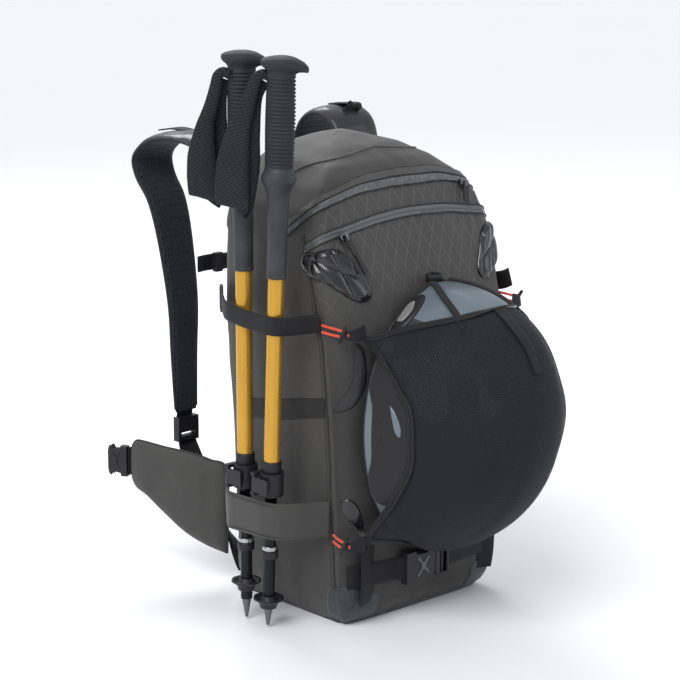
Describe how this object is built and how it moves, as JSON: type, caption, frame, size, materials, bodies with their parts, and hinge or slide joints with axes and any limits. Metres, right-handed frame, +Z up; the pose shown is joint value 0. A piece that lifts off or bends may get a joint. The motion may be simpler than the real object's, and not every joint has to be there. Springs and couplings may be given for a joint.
{
  "type": "ski backpack",
  "caption": "Ski touring backpack standing upright, with a helmet under a net on the front and collapsed ski poles strapped to one side.",
  "frame": {"origin": "centre of the base's resting face", "axes": "+Z up, the wearer's back and the shoulder straps at +Y, the helmet net at -Y, the wearer's left side and the poles at -X"},
  "size_m": [0.3941, 0.5541, 0.6332],
  "materials": {
    "shell_fabric": "matt graphite-grey ripstop nylon",
    "dark_panel": "matt black padded fabric",
    "coated_panel": "glossy black coated quilted fabric",
    "webbing": "black woven webbing",
    "air_mesh": "blue-black spacer mesh",
    "net_mesh": "fine black stretch mesh",
    "elastic": "orange-red elastic cord",
    "zip_tape": "water-resistant coated zip tape",
    "buckle_plastic": "black acetal",
    "zip_metal": "gunmetal",
    "sheet_plastic": "HDPE back sheet",
    "stay_aluminium": "satin",
    "helmet_paint": "satin grey-blue shell",
    "helmet_foam": "black foam and liner",
    "gold_aluminium": "gold anodised, satin",
    "pole_black": "black anodised",
    "grip_rubber": "matt black rubber",
    "tip_metal": "carbide and steel"
  },
  "bodies": {
    "pack": {"base_panel": "dark_panel", "main_bag": "shell_fabric", "front_pocket": "shell_fabric", "quilted_panels": "coated_panel", "back_pad": "air_mesh", "lumbar_pad": "air_mesh", "frame_sheet": "sheet_plastic", "frame_stays": "stay_aluminium", "front_zip": "zip_tape", "main_zip": "zip_tape", "side_strap_left": "webbing", "side_strap_right": "webbing", "ski_loop_left": "shell_fabric", "ski_loop_right": "shell_fabric", "cord_lower_left": "elastic", "cord_lower_right": "elastic", "cord_upper_left": "elastic", "cord_upper_right": "elastic", "front_strap": "webbing", "front_buckle_socket": "buckle_plastic", "lower_webbing": "webbing"},
    "front_buckle": {"front_buckle_plug": "buckle_plastic"},
    "harness": {"shoulder_strap_left": "air_mesh", "shoulder_strap_right": "air_mesh", "strap_adjusters": "buckle_plastic", "sternum_strap": "webbing", "sternum_socket": "buckle_plastic"},
    "sternum_buckle": {"sternum_plug": "buckle_plastic"},
    "handle": {"grab_handle": "webbing"},
    "left_hip_wing": {"hip_wing_left": "shell_fabric", "hip_buckle_socket": "buckle_plastic"},
    "right_hip_wing": {"hip_wing_right": "shell_fabric", "hip_buckle_plug": "buckle_plastic"},
    "front_slider": {"front_zip_slider": "zip_metal"},
    "front_pull": {"front_zip_pull": "buckle_plastic"},
    "main_slider": {"main_zip_slider": "zip_metal"},
    "main_pull": {"main_zip_pull": "buckle_plastic"},
    "net": {"helmet_net": "net_mesh", "net_hooks": "buckle_plastic", "helmet_shell": "helmet_paint", "helmet_liner": "helmet_foam", "helmet_cradle": "buckle_plastic"},
    "dial": {"helmet_dial": "buckle_plastic"},
    "rear_pole": {"rear_pole_upper_shaft": "gold_aluminium", "rear_pole_grip": "grip_rubber", "rear_pole_lock_body": "buckle_plastic"},
    "rear_pole_lower": {"rear_pole_lower_shaft": "pole_black", "rear_pole_tip": "tip_metal"},
    "rear_pole_lever": {"rear_pole_lock_lever": "buckle_plastic"},
    "rear_pole_basket": {"rear_pole_basket": "buckle_plastic"},
    "rear_pole_wrist": {"rear_pole_wrist_strap": "webbing"},
    "front_pole": {"front_pole_upper_shaft": "gold_aluminium", "front_pole_grip": "grip_rubber", "front_pole_lock_body": "buckle_plastic"},
    "front_pole_lower": {"front_pole_lower_shaft": "pole_black", "front_pole_tip": "tip_metal"},
    "front_pole_lever": {"front_pole_lock_lever": "buckle_plastic"},
    "front_pole_basket": {"front_pole_basket": "buckle_plastic"},
    "front_pole_wrist": {"front_pole_wrist_strap": "webbing"}
  },
  "joints": [
    {"name": "front_buckle_release", "type": "slide", "parent": "pack", "child": "front_buckle", "axis": [1, 0, 0], "range_m": [0, 0.03]},
    {"name": "harness_swing", "type": "hinge", "parent": "pack", "child": "harness", "pos_m": [0, 0.1145, 0.464], "axis": [1, 0, 0], "range_deg": [0, 12]},
    {"name": "sternum_buckle_release", "type": "slide", "parent": "harness", "child": "sternum_buckle", "axis": [1, 0, 0], "range_m": [0, 0.024]},
    {"name": "grab_handle_swing", "type": "hinge", "parent": "pack", "child": "handle", "pos_m": [0, 0.1095, 0.478], "axis": [1, 0, 0], "range_deg": [0, 75]},
    {"name": "left_hip_wing_swing", "type": "hinge", "parent": "pack", "child": "left_hip_wing", "pos_m": [-0.11, 0.117, 0.09], "axis": [0, 0, 1], "range_deg": [0, 30]},
    {"name": "right_hip_wing_swing", "type": "hinge", "parent": "pack", "child": "right_hip_wing", "pos_m": [0.11, 0.117, 0.09], "axis": [0, 0, -1], "range_deg": [0, 30]},
    {"name": "front_zip_travel", "type": "hinge", "parent": "pack", "child": "front_slider", "pos_m": [0, -0.18988, 0.14531], "axis": [0, 0.9285, -0.3714], "range_deg": [0, 37]},
    {"name": "front_zip_pull_swing", "type": "hinge", "parent": "front_slider", "child": "front_pull", "pos_m": [-0.10421, -0.08162, 0.4364], "axis": [-0.948, -0.1182, -0.2954], "range_deg": [0, 120]},
    {"name": "main_zip_travel", "type": "hinge", "parent": "pack", "child": "main_slider", "pos_m": [0, -0.16648, 0.2038], "axis": [0, -0.9285, 0.3714], "range_deg": [0, 34]},
    {"name": "main_zip_pull_swing", "type": "hinge", "parent": "main_slider", "child": "main_pull", "pos_m": [0.08826, -0.06802, 0.47041], "axis": [-0.955, 0.1102, 0.2754], "range_deg": [0, 120]},
    {"name": "helmet_net_swing", "type": "hinge", "parent": "pack", "child": "net", "pos_m": [0, -0.1177, 0.105], "axis": [1, 0, 0], "range_deg": [0, 60]},
    {"name": "helmet_dial_turn", "type": "hinge", "parent": "net", "child": "dial", "pos_m": [0, -0.108, 0.382], "axis": [0, 0, 1], "continuous": true},
    {"name": "rear_pole_slide", "type": "slide", "parent": "pack", "child": "rear_pole", "axis": [0, 0, 1], "range_m": [0, 0.05]},
    {"name": "rear_pole_extension", "type": "slide", "parent": "rear_pole", "child": "rear_pole_lower", "axis": [0, 0, -1], "range_m": [0, 0.25]},
    {"name": "rear_pole_lever_open", "type": "hinge", "parent": "rear_pole", "child": "rear_pole_lever", "pos_m": [-0.1855, 0.0225, 0.168], "axis": [0, 0, -1], "range_deg": [0, 100]},
    {"name": "rear_pole_basket_turn", "type": "hinge", "parent": "rear_pole_lower", "child": "rear_pole_basket", "pos_m": [-0.17, 0.012, 0.033], "axis": [0, 0, 1], "continuous": true},
    {"name": "rear_pole_wrist_swing", "type": "hinge", "parent": "rear_pole", "child": "rear_pole_wrist", "pos_m": [-0.19015, 0.01961, 0.607], "axis": [0.6756, 0.7373, 0], "range_deg": [0, 40]},
    {"name": "front_pole_slide", "type": "slide", "parent": "pack", "child": "front_pole", "axis": [0, -0.0454, 0.999], "range_m": [0, 0.05]},
    {"name": "front_pole_extension", "type": "slide", "parent": "front_pole", "child": "front_pole_lower", "axis": [0, 0.0454, -0.999], "range_m": [0, 0.25]},
    {"name": "front_pole_lever_open", "type": "hinge", "parent": "front_pole", "child": "front_pole_lever", "pos_m": [-0.1855, -0.021, 0.16831], "axis": [0, 0.0454, -0.999], "range_deg": [0, 100]},
    {"name": "front_pole_basket_turn", "type": "hinge", "parent": "front_pole_lower", "child": "front_pole_basket", "pos_m": [-0.17, -0.02536, 0.03297], "axis": [0, -0.0454, 0.999], "continuous": true},
    {"name": "front_pole_wrist_swing", "type": "hinge", "parent": "front_pole", "child": "front_pole_wrist", "pos_m": [-0.17338, -0.02256, 0.60769], "axis": [0.6756, 0.7365, 0.0334], "range_deg": [0, 40]}
  ]
}
